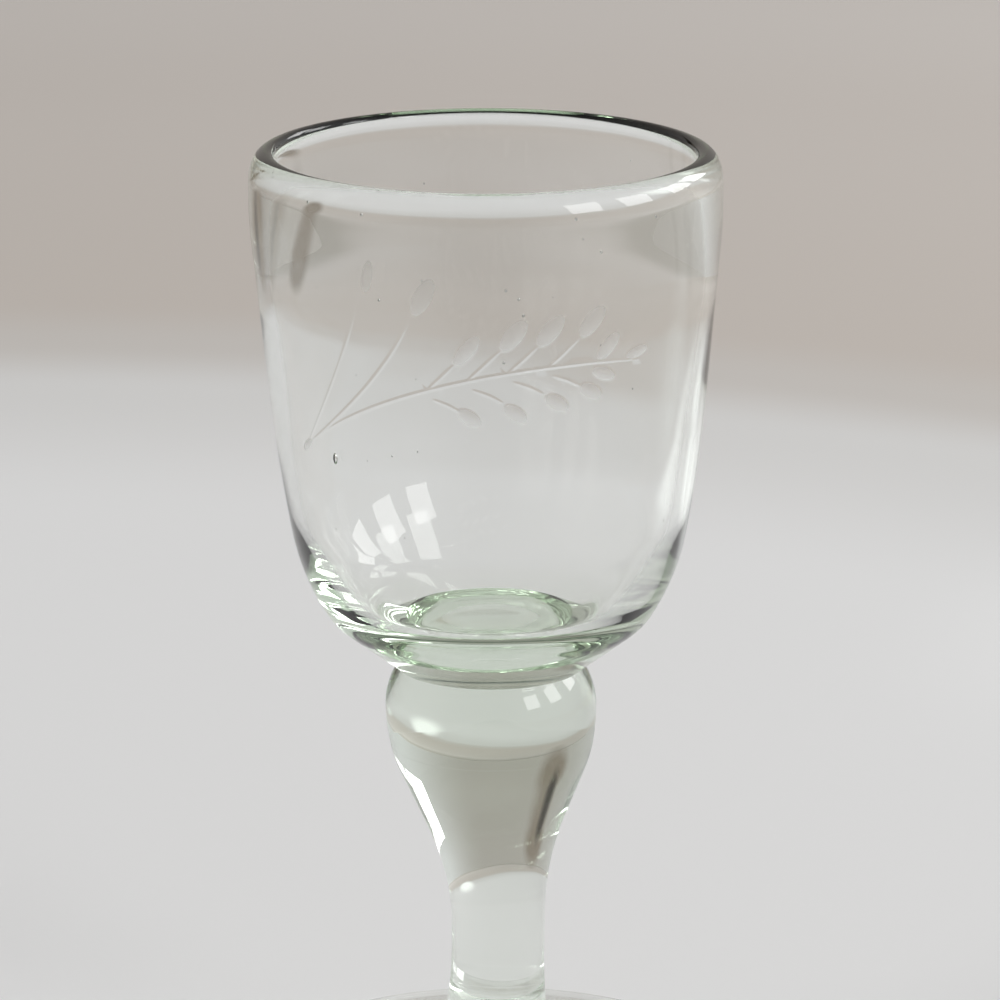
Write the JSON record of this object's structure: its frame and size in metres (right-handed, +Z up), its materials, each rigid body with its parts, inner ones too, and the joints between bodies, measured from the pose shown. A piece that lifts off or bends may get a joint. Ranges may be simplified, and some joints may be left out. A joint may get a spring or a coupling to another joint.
{
  "type": "stemmed shot glass",
  "caption": "Small hand-blown drinking glass: a thick-lipped tapering bowl on a round knop, a solid tapering stem and a disc foot.",
  "frame": {"origin": "centre of the foot, on the surface that the glass stands on", "axes": "+Z up along the glass's axis of revolution; -Y is the engraved front"},
  "size_m": [0.05, 0.05, 0.1],
  "materials": {
    "bowl_glass": "fire-polished, pale green, slightly seeded, with a wheel-cut frosted sprig",
    "knop_glass": "fire-polished, pale green",
    "stem_glass": "fire-polished, pale green",
    "foot_glass": "fire-polished, pale green, with a ground pontil mark"
  },
  "bodies": {
    "root": {"bowl": "bowl_glass", "knop": "knop_glass", "stem": "stem_glass", "foot": "foot_glass"}
  },
  "joints": []
}
